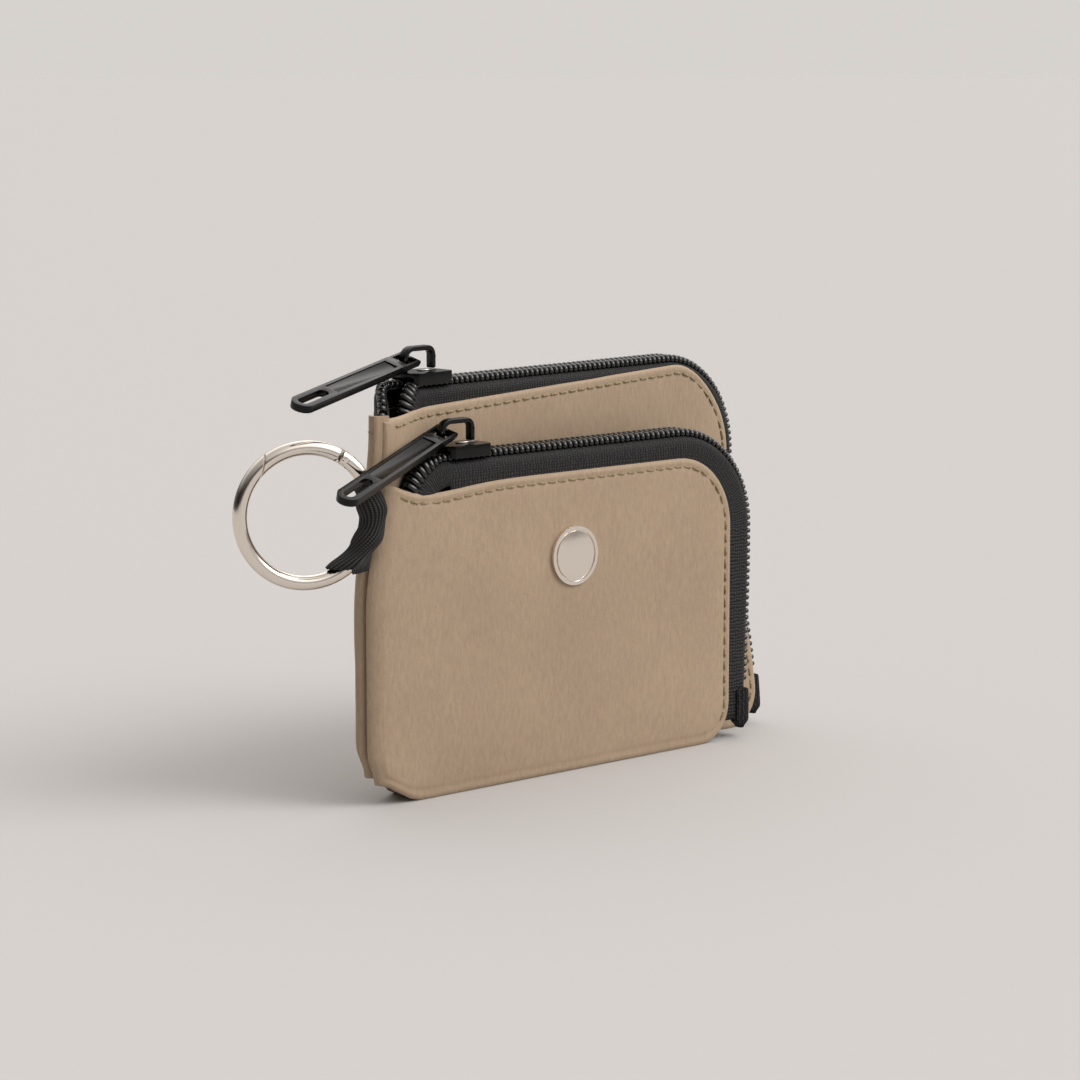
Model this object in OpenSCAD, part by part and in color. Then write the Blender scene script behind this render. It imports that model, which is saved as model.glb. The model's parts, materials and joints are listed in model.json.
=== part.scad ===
// Small two-pouch zip wallet with a spring-gate carry ring.
// X runs from the left seam to the right, the front faces -Y, +Z is up.
// The origin is on the ground at the centre of the main pouch's bottom gusset.

/* [Main pouch] */
// Width of the main pouch, left seam to the outer edge of its zip
main_w = 127; // [108:1:150]
// Height of the main pouch to the top of its zip
main_h = 88.5; // [72:0.5:110]
// Distance from the top of the zip down to the main panels' upper edge
main_reveal = 4; // [3:0.5:6]

/* [Front pocket] */
// Width of the front pocket, left seam to the outer edge of its zip
pocket_w = 115.5; // [96:0.5:135]
// Height of the front pocket to the top of its zip
pocket_h = 73.5; // [58:0.5:90]
// Distance from the top of the zip down to the pocket panel's upper edge
pocket_reveal = 6.5; // [4:0.5:8]
// Distance from the side of the zip in to the pocket panel's right edge
pocket_side_reveal = 8.5; // [5:0.5:11]
// Angle in plan by which the main pouch swings back from the pocket
spread = 4.5; // [4:0.5:12]
// Room between the pocket's chain and the main pouch's chain line at the seam, beyond half a chain
pocket_room = 4.5; // [4:0.1:7]

/* [Fabric] */
// Thickness of one outer panel, nylon with its backing
panel_t = 0.8; // [0.5:0.1:1.2]
// Thickness of the lining cloth
lining_t = 0.4; // [0.3:0.1:0.6]
// Outside radius of each zip's top right corner
corner_r = 24; // [18:1:30]
// Radius of the panels' lower right corner
foot_r = 9; // [5:1:14]
// Clear space between the left seam line and the first fabric
seam_inset = 4.3; // [4:0.1:8]
// Length of one topstitch
stitch_l = 2.1; // [1.6:0.1:2.6]
// Distance from one stitch to the next
stitch_pitch = 3; // [2.8:0.1:4]
// Distance of the topstitch from the panel's edge
stitch_inset = 1.9; // [1.5:0.1:3]

/* [Zip] */
// Width of the closed coil chain
chain_w = 6; // [5:0.2:6.6]
// Height of the coil above its tape
coil_t = 2.4; // [2:0.1:2.8]
// Slot between the two coil rows, where the slider's diamond runs
row_gap = 1; // [0.8:0.1:1.4]
// Thickness of the zip tape
tape_t = 0.6; // [0.4:0.1:0.8]
// Depth of the tape from the top of the coil to its hem
tape_depth = 13; // [11:0.5:16]
// Height above the ground at which the coil ends on the side
chain_foot = 12; // [10:0.5:20]

/* [Sliders] */
// Length of a slider body along the chain
slider_l = 12; // [10:0.5:14]
// Clearance of the slider around chain and tape
slider_gap = 0.3; // [0.2:0.05:0.4]
// Thickness of the slider's plates
plate_t = 1.1; // [0.9:0.1:1.4]
// Distance of the main slider's centre from the left seam
main_slider_x = 26.5; // [24:0.5:40]
// Distance of the pocket slider's centre from the left seam
pocket_slider_x = 29; // [26:0.5:40]
// Width of the crown across the chain
crown_w = 2; // [1.8:0.1:2.2]
// Thickness of the crown's arch
crown_t = 1.1; // [0.9:0.1:1.3]
// Inside radius of the crown's arch round the pull's pivot
crown_r = 1.7; // [1.6:0.1:2]
// Distance of the crown's rear leg behind the slider's centre
crown_back = 2.2; // [1.6:0.1:4]

/* [Pulls] */
// Length of a pull, pivot to tip
pull_l = 42; // [30:1:48]
// Width of a pull
pull_w = 5; // [4.6:0.1:6]
// Thickness of a pull
pull_t = 1.6; // [1.2:0.1:1.8]
// How far a pull rolls towards the front in its loose eye
pull_roll = 20; // [0:1:22]
// How far the main pull turns towards the front
main_pull_yaw = 12; // [0:0.5:14]
// How far the main pull's tip hangs below level
main_pull_dip = 9; // [4:1:12]
// How far the pocket pull turns towards the front
pocket_pull_yaw = 18.5; // [14:0.5:19]
// How far the pocket pull's tip hangs below level
pocket_pull_dip = 14; // [6:1:16]

/* [Ring] */
// Inside diameter of the spring-gate ring
ring_id = 25; // [20:0.5:30]
// Diameter of the ring's wire
wire_d = 3.1; // [2.6:0.1:3.6]
// Distance of the ring's centre below the top of the pocket's zip
ring_drop = 10.5; // [8:0.5:20]
// Angle in plan by which the ring hangs back from the pocket's face
ring_back = 24; // [10:1:40]
// Where the gate's hinge sits, measured round from the seam side
gate_from = 50; // [46:1:60]
// Where the gate ends and meets the ring's nose
gate_to = 122; // [110:1:135]

/* [Strap] */
// Thickness of the grosgrain strap
strap_t = 0.9; // [0.6:0.1:1]
// Width of the strap, measured along the wire
strap_w = 20; // [16:1:22]
// Clearance of the strap round the wire
strap_gap = 0.2; // [0.15:0.05:0.3]

/* [Badge] */
// Diameter of the badge
badge_d = 13.2; // [10:0.2:16]
// Thickness of the badge
badge_t = 1.5; // [1.2:0.1:2]
// Distance of the badge from the left seam
badge_x = 57; // [40:1:80]
// Distance of the badge's centre below the top of the pocket's zip
badge_drop = 25; // [22:0.5:38]

/* [Hidden] */

nylon = "#a68e74";
lining_grey = "#3a3836";
zip_black = "#2b2a2c";
metal_black = "#17171a";
nickel = "#cdbfb0";
thread = "#8c7d5a";

// Cross-section of a pouch, measured from the middle of its chain
leg_out = chain_w / 2 + 0.8;
leg_in = leg_out - tape_t;
face = leg_out + panel_t;
gusset_t = 1;
coil_round = 0.9;
tape_top = coil_t;
tape_low = coil_t + tape_t;
tab_foot = chain_foot - 6;

// Plan of the two pouches: seam_x is the left seam, main_y and pocket_y the chains' lines at the seam
seam_x = -main_w / 2;
main_y = -main_w / 2 * sin(spread);
pocket_depth = pocket_room + chain_w / 2;
pocket_y = main_y - pocket_depth;
far = 2 * main_w;

// Sliders stand on the coil: heights are measured down from the top of the coil
top_plate_low = slider_gap;
shoulder_w = chain_w + 2.6;
tail_w = chain_w + 1.8;
flange_in = chain_w / 2 + slider_gap;
flange_low = coil_t / 2;
bottom_plate_top = tape_low + slider_gap;
bottom_plate_w = 2 * (leg_in - slider_gap);
diamond_w = row_gap - 2 * 0.2;
pivot_x = -3.2;
pivot_z = top_plate_low + plate_t + 2.7;
eye_bar_r = 0.7;
eye_l = 4.2;
eye_play = 0.9;
crown_out = crown_r + crown_t;
post_mid = (crown_r + crown_out) / 2;

// The open end of each zip droops from a knee just left of its slider, a little more than the pull above it
knee_gap = 1.5;
droop_more = 1.5;
main_knee = [main_slider_x - slider_l / 2 - knee_gap, main_pull_dip + droop_more];
pocket_knee = [pocket_slider_x - slider_l / 2 - knee_gap, pocket_pull_dip + droop_more];

// Ring: its hinge line stands just outside the seam, ring_r is the wire's centre line
ring_r = ring_id / 2 + wire_d / 2;
sleeve_in = wire_d / 2 + strap_gap;
sleeve_out = sleeve_in + strap_t;
ring_x = seam_x + seam_inset - sleeve_out - 0.3;
ring_y = pocket_y - face + 0.4;
ring_z = pocket_h - ring_drop;
gate_cut = 0.35;
gate_lean = 12;
pin_at = gate_from + 4;
fork_w = 1.3;
fork_gap = 0.1;
tongue_t = fork_w - 2 * fork_gap;
shoulder = 2;
spring_at = gate_from - 18;
strap_angle = strap_w / ring_r * 180 / PI;
strap_low = -0.7 * strap_angle;
pin_r = 0.6;
pin_gap = 0.05;

// Post that holds the badge through the pocket panel
post_r = 1.2;
badge_z = pocket_h - badge_drop;

$fn = 64;

// ---------- frames ----------

// The pocket's own frame: x from the seam along its chain, y = 0 at the middle of the chain
module pocket_frame() translate([seam_x, pocket_y, 0]) children();

// The main pouch's own frame, swung back by the spread angle
module main_frame() translate([seam_x, main_y, 0]) rotate([0, 0, spread]) children();

// Stands a flat shape up and gives it depth from y0 to y1
module slab(y0, y1) translate([0, y1, 0]) rotate([90, 0, 0]) linear_extrude(y1 - y0) children();

// Outline of a pouch with its top right corner rounded, and the lower right one if low_r is set
module outline(x0, x1, z0, z1, r, low_r = 0) {
    difference() {
        translate([x0, z0]) square([x1 - x0, z1 - z0]);
        translate([x1 - r, z1 - r]) difference() {
            square(r + 1);
            circle(r, $fn = 96);
        }
        if (low_r > 0) translate([x1 - low_r, z0 + low_r]) difference() {
            translate([0, -low_r - 1]) square(low_r + 1);
            circle(low_r);
        }
    }
}

// Outline that a zip follows at a distance in from its outside line; knee is [x, angle] of its open end
module zip_outline(left, foot, w, h, in, knee) difference() {
    outline(left, w - in, foot, h - in, corner_r - in);
    translate([knee[0] + in * tan(knee[1] / 2), h - in]) rotate(knee[1]) translate([-w, 0]) square(w);
}

// The L-shaped band between two distances in from the zip's outside line
module zip_band(w, h, from, to, foot, knee) difference() {
    zip_outline(seam_inset, foot, w, h, from, knee);
    zip_outline(seam_inset - 1, foot - 1, w, h, to, knee);
}

// ---------- pouch pieces ----------

module panel(w, h, side, top, y0) slab(y0, y0 + panel_t)
    outline(seam_inset, w - side, 0, h - top, corner_r - min(side, top), foot_r);

module main_front_panel() color(nylon) main_frame() panel(main_w, main_h, main_reveal, main_reveal, -face);

module main_back_panel() color(nylon) main_frame() panel(main_w, main_h, main_reveal, main_reveal, leg_out);

module left_gusset() color(nylon) main_frame()
    translate([seam_inset - gusset_t, -face, 0]) cube([gusset_t, 2 * face, main_h - main_reveal - 2]);

module bottom_gusset() color(nylon) main_frame()
    translate([seam_inset, -leg_out, 0])
        cube([main_w - main_reveal - foot_r - seam_inset, 2 * leg_out, gusset_t]);

// A lining bag, open at the top
module main_lining() {
    side = leg_in - 0.1;
    right = main_w - tape_low - 4;
    top = main_h - bottom_plate_top - plate_t - 2;
    color(lining_grey) main_frame() difference() {
        slab(-side, side) outline(seam_inset + 0.5, right, 1.3, top, corner_r - 6, foot_r);
        slab(-side + lining_t, side - lining_t)
            outline(seam_inset + 0.5 + lining_t, right - lining_t, 1.3 + lining_t, top + 9, 1, foot_r - 1);
    }
}

module pocket_panel() color(nylon) difference() {
    pocket_frame() panel(pocket_w, pocket_h, pocket_side_reveal, pocket_reveal, -face);
    at_badge() cylinder(h = 4 * panel_t, r = post_r + pin_gap, center = true, $fn = 48);
}

// Everything in front of the main pouch's face, less a gap
module before_main(gap) main_frame() translate([-far, -face - gap - far, -1]) cube([2 * far, far, far]);

// Plan of the wedge between pocket panel and main pouch
module wedge(x0, x1, front, gap) intersection() {
    pocket_frame() translate([x0, front, 0]) cube([x1 - x0, far, far]);
    before_main(gap);
}

module pocket_floor() color(nylon) intersection() {
    wedge(seam_inset, pocket_w - pocket_side_reveal - foot_r, -leg_out, 0);
    translate([-far, -far, 0]) cube([2 * far, 2 * far, 0.8]);
}

// A lining bag whose back wall hangs in front of the tape sewn down the main pouch
module pocket_lining() {
    x0 = seam_inset + 0.5;
    x1 = pocket_w - pocket_side_reveal - 2;
    low = 1.1;
    top = pocket_h - tape_depth - 1;
    front = -leg_in + 0.1;
    back = tape_t + 0.1;
    color(lining_grey) difference() {
        intersection() {
            wedge(x0, x1, front, back);
            translate([-far, -far, low]) cube([2 * far, 2 * far, top - low]);
        }
        intersection() {
            wedge(x0 + lining_t, x1 - lining_t, front + lining_t, back + lining_t);
            translate([-far, -far, low + lining_t]) cube([2 * far, 2 * far, top]);
        }
    }
}

// ---------- zips ----------

// One tape: under the coil, round the edge and down inside the panel; side is -1 in front, 1 behind
module tape(w, h, side, knee) mirror([0, side < 0 ? 1 : 0, 0]) {
    slab(row_gap / 2, leg_out) zip_band(w, h, tape_top, tape_low, tab_foot, knee);
    slab(leg_in, leg_out) zip_band(w, h, tape_top, tape_depth, tab_foot, knee);
}

// One row of coil on its tape, its outer edge stepped down where the loops round over
module coil(w, h, side, knee) mirror([0, side < 0 ? 1 : 0, 0]) {
    slab(row_gap / 2, chain_w / 2 - coil_round) zip_band(w, h, 0, tape_top, chain_foot, knee);
    slab(row_gap / 2, chain_w / 2) zip_band(w, h, coil_round, tape_top, chain_foot, knee);
}

// Ribbed tab folded over the lower end of the chain
module end_tab(w) translate([w - tape_top, -chain_w / 2, tab_foot]) {
    cube([tape_top + 0.2, chain_w, chain_foot - tab_foot]);
    for (z = [1 : 1.4 : chain_foot - tab_foot - 1])
        translate([tape_top + 0.2, 0, z]) rotate([-90, 0, 0]) cylinder(h = chain_w, r = 0.3, $fn = 24);
}

module main_tape_front() color(zip_black) main_frame() tape(main_w, main_h, -1, main_knee);
module main_tape_back() color(zip_black) main_frame() tape(main_w, main_h, 1, main_knee);
module main_coil_front() color(zip_black) main_frame() coil(main_w, main_h, -1, main_knee);
module main_coil_back() color(zip_black) main_frame() coil(main_w, main_h, 1, main_knee);
module main_end_tab() color(zip_black) main_frame() end_tab(main_w);

module pocket_tape_front() color(zip_black) pocket_frame() tape(pocket_w, pocket_h, -1, pocket_knee);

// The pocket's back tape runs from the chain to the main pouch's face and down it
module pocket_tape_back() color(zip_black) {
    intersection() {
        pocket_frame() slab(row_gap / 2, far)
            zip_band(pocket_w, pocket_h, tape_top, tape_low, tab_foot, pocket_knee);
        before_main(0);
    }
    difference() {
        intersection() {
            pocket_frame() slab(row_gap / 2, far)
                zip_band(pocket_w, pocket_h, tape_top, tape_depth - 3, tab_foot, pocket_knee);
            before_main(0);
        }
        before_main(tape_t);
    }
}

module pocket_coil_front() color(zip_black) pocket_frame() coil(pocket_w, pocket_h, -1, pocket_knee);
module pocket_coil_back() color(zip_black) pocket_frame() coil(pocket_w, pocket_h, 1, pocket_knee);
module pocket_end_tab() color(zip_black) pocket_frame() end_tab(pocket_w);

// ---------- stitching ----------

// A row of stitches along the top, round the corner and down the side of a panel
module topstitch(w, h, side, top, y) {
    r = corner_r - min(side, top) - stitch_inset;
    right = w - side - stitch_inset;
    high = h - top - stitch_inset;
    arc_step = stitch_pitch / r * 180 / PI;
    module stitch() translate([-stitch_l / 2, -0.3, -0.2]) cube([stitch_l, 0.3, 0.4]);
    translate([0, y, 0]) {
        for (x = [seam_inset + 3 : stitch_pitch : right - r - stitch_pitch / 2])
            translate([x, 0, high]) stitch();
        for (a = [arc_step / 2 : arc_step : 90 - arc_step / 2])
            translate([right - r + r * cos(a), 0, high - r + r * sin(a)]) rotate([0, 90 - a, 0]) stitch();
        for (z = [foot_r + 3 : stitch_pitch : high - r - stitch_pitch / 2])
            translate([right, 0, z]) rotate([0, 90, 0]) stitch();
    }
}

module main_topstitch() color(thread) main_frame()
    topstitch(main_w, main_h, main_reveal, main_reveal, -face);

module pocket_topstitch() color(thread) pocket_frame()
    topstitch(pocket_w, pocket_h, pocket_side_reveal, pocket_reveal, -face);

module gusset_hem_stitch() color(thread) main_frame()
    for (y = [-face + 1.8 : stitch_pitch : face - 1])
        translate([seam_inset - 1.4, y - stitch_l / 2, main_h - main_reveal - 5]) cube([0.3, stitch_l, 0.4]);

// ---------- sliders and pulls ----------

// Slider body in its own frame: x along the chain, z = 0 on top of the coil
module slider_body() difference() {
    union() {
        translate([0, 0, top_plate_low]) linear_extrude(plate_t) slider_plan(shoulder_w, tail_w);
        translate([0, 0, -flange_low]) linear_extrude(flange_low + top_plate_low + 0.1) difference() {
            slider_plan(shoulder_w, tail_w);
            translate([-slider_l, -flange_in]) square([2 * slider_l, 2 * flange_in]);
        }
        translate([0, 0, -bottom_plate_top - plate_t]) linear_extrude(plate_t)
            slider_plan(bottom_plate_w, bottom_plate_w);
        translate([-slider_l / 2 + 0.6, -diamond_w / 2, -bottom_plate_top - 0.1])
            cube([slider_l / 3, diamond_w, bottom_plate_top + top_plate_low + 0.2]);
    }
    lock_hole();
}

// Plan of a plate: wide at the shoulder, narrow at the tail, round ends
module slider_plan(w_left, w_right) intersection() {
    polygon([[-slider_l / 2, -w_left / 2], [0, -w_left / 2], [slider_l / 2, -w_right / 2],
             [slider_l / 2, w_right / 2], [0, w_left / 2], [-slider_l / 2, w_left / 2]]);
    circle(slider_l / 2 + 0.5);
}

// The small hole through the top plate for the lock spring's toe
module lock_hole() translate([3.4, 0, top_plate_low - 1]) cylinder(h = plate_t + 2, r = 0.6, $fn = 32);

// Arched crown with its pull end round the pivot and its tail hooked down, with a small gap
module slider_crown() translate([0, crown_w / 2, 0]) rotate([90, 0, 0]) linear_extrude(crown_w) {
    plate = top_plate_low + plate_t;
    translate([pivot_x, pivot_z]) difference() {
        circle(crown_out);
        circle(crown_r);
        translate([0, -crown_out - 1]) square([crown_out + 1, 2 * crown_out + 2]);
        translate([-crown_out - 1, -crown_out - 1]) square([2 * crown_out + 2, crown_out + 1]);
    }
    translate([pivot_x - crown_out, plate]) square([crown_t, pivot_z - plate]);
    translate([pivot_x, pivot_z + crown_r]) square([crown_back - 1 - pivot_x, crown_t]);
    translate([crown_back - 1, pivot_z + crown_r - 1]) difference() {
        circle(1 + crown_t);
        circle(1);
        translate([-3, -3]) square([3, 6]);
        translate([-3, -3]) square([6, 3]);
    }
    translate([crown_back, plate + 0.5]) square([crown_t, pivot_z + crown_r - 1 - plate - 0.5]);
}

// Flat lock spring under the crown, its toe reaching down through the plate
module lock_spring() {
    plate = top_plate_low + plate_t;
    translate([-0.9, -0.6, plate]) cube([4.7, 1.2, 0.35]);
    translate([3.4, 0, plate - 0.9]) cylinder(h = 1.0, r = 0.45, $fn = 32);
}

// A pull in its own frame: pivot at the origin, tip towards -x
module pull() {
    module bar(x, w, h) translate([0, 0, -h / 2]) linear_extrude(h) {
        translate([-pull_l + w / 2, 0]) circle(w / 2);
        translate([-pull_l + w / 2, -w / 2]) square([pull_l - w / 2 + x, w]);
    }
    slot_w = pull_w - 2.6;
    difference() {
        union() {
            bar(-eye_l - 1, pull_w, pull_t);
            translate([-eye_l - 1.6, -pull_w / 2, -eye_bar_r]) cube([eye_l + 1.6, pull_w, 2 * eye_bar_r]);
            translate([0, pull_w / 2, 0]) rotate([90, 0, 0]) cylinder(h = pull_w, r = eye_bar_r);
        }
        // eye round the crown
        translate([-eye_l, -crown_w / 2 - eye_play, -2]) cube([eye_l - eye_bar_r, crown_w + 2 * eye_play, 4]);
        // long slot at the tip
        translate([-pull_l + pull_w / 2, 0, -2]) linear_extrude(4) {
            circle(slot_w / 2);
            translate([0, -slot_w / 2]) square([7, slot_w]);
            translate([7, 0]) circle(slot_w / 2);
        }
        // sunk panel on both faces
        for (s = [-1, 1]) translate([-pull_l + pull_w / 2 + 10, -pull_w / 2 + 0.8, s * pull_t / 2 - 0.3])
            cube([pull_l - pull_w / 2 - 10 - eye_l - 3, pull_w - 1.6, 0.6]);
    }
}

module on_main_chain() main_frame() translate([main_slider_x, 0, main_h]) children();
module on_pocket_chain() pocket_frame() translate([pocket_slider_x, 0, pocket_h]) children();

// A pull turns about the crown's post, which its eye surrounds, and hangs from its pivot
module at_pivot(yaw, dip) translate([pivot_x - post_mid, 0, pivot_z]) rotate([0, 0, yaw])
    translate([post_mid, 0, 0]) rotate([0, -dip, 0]) rotate([pull_roll, 0, 0]) children();

module main_slider_body() color(metal_black) on_main_chain() slider_body();
module main_slider_crown() color(metal_black) on_main_chain() slider_crown();
module main_lock_spring() color("silver") on_main_chain() lock_spring();
module main_pull() color(metal_black) on_main_chain() at_pivot(main_pull_yaw, main_pull_dip) pull();
module pocket_slider_body() color(metal_black) on_pocket_chain() slider_body();
module pocket_slider_crown() color(metal_black) on_pocket_chain() slider_crown();
module pocket_lock_spring() color("silver") on_pocket_chain() lock_spring();
module pocket_pull() color(metal_black) on_pocket_chain() at_pivot(pocket_pull_yaw, pocket_pull_dip) pull();

// ---------- ring and strap ----------

// The ring's frame: its axis is z, its hinge line stands on the +x side of the circle
module ring_frame() translate([ring_x, ring_y, ring_z]) rotate([0, 0, -ring_back])
    translate([-ring_r, 0, 0]) rotate([90, 0, 0]) children();

// A stretch of the ring's wire, or of a tube round it
module arc_tube(from, to, r_out, r_in = 0) rotate([0, 0, from])
    rotate_extrude(angle = to - from, $fn = 128) translate([ring_r, 0]) difference() {
        circle(r_out, $fn = 48);
        if (r_in > 0) circle(r_in, $fn = 48);
    }

module at_hinge_pin() rotate([0, 0, pin_at]) translate([ring_r, 0, 0]) children();

// Everything on the gate's side of the slanting cut where gate and nose meet
module gate_side(gap) rotate([0, 0, gate_to + 9]) translate([ring_r, 0, 0])
    rotate([0, 0, -gate_to - 9 - gate_lean]) translate([gap, -2 * ring_r, -ring_r])
        cube([4 * ring_r, 4 * ring_r, 2 * ring_r]);

// Tangent bore in the wire that holds the gate's spring
module in_spring_bore() rotate([0, 0, spring_at]) translate([ring_r, 0, 0]) rotate([-90, 0, 0]) children();

module ring_body() color(nickel) ring_frame() difference() {
    arc_tube(gate_to - 8, 360 + pin_at + 4, wire_d / 2);
    intersection() {
        gate_side(-gate_cut / 2);
        rotate([0, 0, gate_to]) translate([ring_r, 0, 0]) cylinder(h = 4 * wire_d, r = 6, center = true);
    }
    at_hinge_pin() cylinder(h = fork_w, r = wire_d / 2 + 0.35, center = true, $fn = 48);
    at_hinge_pin() translate([-2.5, 0, -fork_w / 2]) cube([5, 4, fork_w]);
    at_hinge_pin() cylinder(h = 2 * wire_d, r = pin_r, center = true, $fn = 48);
    in_spring_bore() cylinder(h = 4, r = 0.9, $fn = 32);
}

// The gate narrows to a tongue with a round end that turns on the pin inside the fork
module ring_gate() color(nickel) ring_frame() difference() {
    union() {
        difference() {
            intersection() {
                arc_tube(pin_at, gate_to + 25, wire_d / 2);
                gate_side(gate_cut / 2);
            }
            for (s = [-1, 1]) at_hinge_pin() translate([0, 0, s * (tongue_t / 2 + wire_d)])
                cube([2 * wire_d, 2 * shoulder, 2 * wire_d], center = true);
        }
        at_hinge_pin() cylinder(h = tongue_t, r = wire_d / 2 - 0.05, center = true, $fn = 48);
    }
    at_hinge_pin() cylinder(h = 2 * wire_d, r = pin_r + pin_gap, center = true, $fn = 48);
}

module ring_hinge_pin() color(nickel) ring_frame() at_hinge_pin()
    cylinder(h = wire_d * 0.92, r = pin_r, center = true, $fn = 48);

module ring_gate_spring() color("silver") ring_frame() in_spring_bore() translate([0, 0, 0.3])
    difference() {
        cylinder(h = 2.6, r = 0.8, $fn = 32);
        translate([0, 0, -1]) cylinder(h = 5, r = 0.4, $fn = 32);
    }

module strap_loop() color(zip_black) ring_frame()
    arc_tube(strap_low, strap_low + strap_angle, sleeve_out, sleeve_in);

// ---------- badge ----------

module at_badge() pocket_frame() translate([badge_x, -face, badge_z]) rotate([90, 0, 0]) children();

// Plain domed badge with a raised rim and a post through the panel
module badge_face() color(nickel) at_badge() {
    difference() {
        cylinder(h = badge_t, r = badge_d / 2);
        translate([0, 0, badge_t - 0.35]) difference() {
            cylinder(h = 1, r = badge_d / 2 - 0.8);
            translate([0, 0, -1]) cylinder(h = 3, r = badge_d / 2 - 1.2);
        }
    }
    translate([0, 0, -panel_t - 0.5]) cylinder(h = panel_t + 0.6, r = post_r);
}

module badge_backing() color(nickel) at_badge() difference() {
    translate([0, 0, -panel_t - 0.4]) cylinder(h = 0.4, r = badge_d / 2 - 1);
    translate([0, 0, -panel_t - 1]) cylinder(h = 2, r = post_r + pin_gap);
}

main_back_panel();
main_front_panel();
left_gusset();
bottom_gusset();
main_lining();
pocket_panel();
pocket_floor();
pocket_lining();
main_tape_front();
main_tape_back();
main_coil_front();
main_coil_back();
main_end_tab();
pocket_tape_front();
pocket_tape_back();
pocket_coil_front();
pocket_coil_back();
pocket_end_tab();
main_topstitch();
pocket_topstitch();
gusset_hem_stitch();
main_slider_body();
main_slider_crown();
main_lock_spring();
main_pull();
pocket_slider_body();
pocket_slider_crown();
pocket_lock_spring();
pocket_pull();
strap_loop();
ring_body();
ring_gate();
ring_hinge_pin();
ring_gate_spring();
badge_face();
badge_backing();
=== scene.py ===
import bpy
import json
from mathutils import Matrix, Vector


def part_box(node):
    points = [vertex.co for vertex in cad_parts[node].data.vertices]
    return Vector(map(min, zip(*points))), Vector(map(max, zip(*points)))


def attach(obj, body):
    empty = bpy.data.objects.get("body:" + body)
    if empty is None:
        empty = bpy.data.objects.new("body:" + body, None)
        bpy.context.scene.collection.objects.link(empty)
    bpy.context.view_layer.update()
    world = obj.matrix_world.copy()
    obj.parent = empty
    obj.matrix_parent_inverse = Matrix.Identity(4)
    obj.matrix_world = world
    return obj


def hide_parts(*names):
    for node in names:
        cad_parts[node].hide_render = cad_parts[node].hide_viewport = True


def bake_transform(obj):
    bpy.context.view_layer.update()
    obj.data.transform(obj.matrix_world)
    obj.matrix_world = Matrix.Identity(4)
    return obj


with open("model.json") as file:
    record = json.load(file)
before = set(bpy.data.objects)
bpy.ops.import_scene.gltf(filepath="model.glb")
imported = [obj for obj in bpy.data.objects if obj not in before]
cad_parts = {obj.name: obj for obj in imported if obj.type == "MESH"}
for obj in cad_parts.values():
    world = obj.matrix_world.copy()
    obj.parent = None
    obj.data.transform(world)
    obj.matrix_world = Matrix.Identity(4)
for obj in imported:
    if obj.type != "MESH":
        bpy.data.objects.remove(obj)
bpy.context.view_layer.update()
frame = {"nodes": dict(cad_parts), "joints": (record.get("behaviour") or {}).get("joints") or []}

import json
from math import cos, exp, hypot, pi, radians, sin

import bpy
from mathutils import Matrix, Vector, noise

# ---------------------------------------------------------------------------
# Camera: a long lens a little above the wallet, off its front left corner,
# so that the ring's side seam and both zips are seen together.

MM = 0.001
pocket_row_low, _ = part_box("pocket_coil_front")
_, pocket_row_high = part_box("pocket_coil_back")
seam_inset = 4.3
seam_x = pocket_row_low.x - seam_inset * MM
pocket_y = (pocket_row_low.y + pocket_row_high.y) / 2

camera_turn, camera_rise, camera_distance = radians(42), radians(8.5), 0.689
look_at = Vector((seam_x + 0.0435, pocket_y - 0.0093, 0.0536))
towards_camera = Vector((
    -sin(camera_turn) * cos(camera_rise), -cos(camera_turn) * cos(camera_rise), sin(camera_rise)))
lens = bpy.data.cameras.new("camera")
lens.lens = 106.7
lens.sensor_width = 36
lens.clip_start = 0.01
camera = bpy.data.objects.new("camera", lens)
camera.location = look_at + towards_camera * camera_distance
camera.rotation_euler = (-towards_camera).to_track_quat("-Z", "Y").to_euler()
bpy.context.scene.collection.objects.link(camera)
bpy.context.scene.camera = camera

# ---------------------------------------------------------------------------
# Studio: a wide pale floor, an even pale surround, a large soft key from the
# right and a weak one from the left for the metal's edges.


def take_up(piece):
    """Makes one piece the only one selected, and the active one"""
    bpy.ops.object.select_all(action="DESELECT")
    piece.select_set(True)
    bpy.context.view_layer.objects.active = piece


def plain_material(name, colour, roughness):
    finish = bpy.data.materials.new(name)
    finish.use_nodes = True
    shader = finish.node_tree.nodes["Principled BSDF"]
    shader.inputs["Base Color"].default_value = (*colour, 1)
    shader.inputs["Roughness"].default_value = roughness
    return finish


def add_node(tree, kind, settings=None, **inputs):
    """Adds a shader node, with its settings and the values of its inputs"""
    node = tree.nodes.new(kind)
    for key, value in (settings or {}).items():
        setattr(node, key, value)
    for key, value in inputs.items():
        node.inputs[key.replace("_", " ")].default_value = value
    return node


bpy.context.scene.view_settings.view_transform = "Standard"
bpy.ops.object.select_all(action="DESELECT")
bpy.ops.mesh.primitive_circle_add(vertices=64, radius=30, fill_type="NGON")
floor = bpy.context.object
floor.name = "floor"
paper = plain_material("floor_paper", (0.529, 0.514, 0.507), 0.9)
paper.node_tree.nodes["Principled BSDF"].inputs["Specular IOR Level"].default_value = 0.1
floor.data.materials.append(paper)

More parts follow.
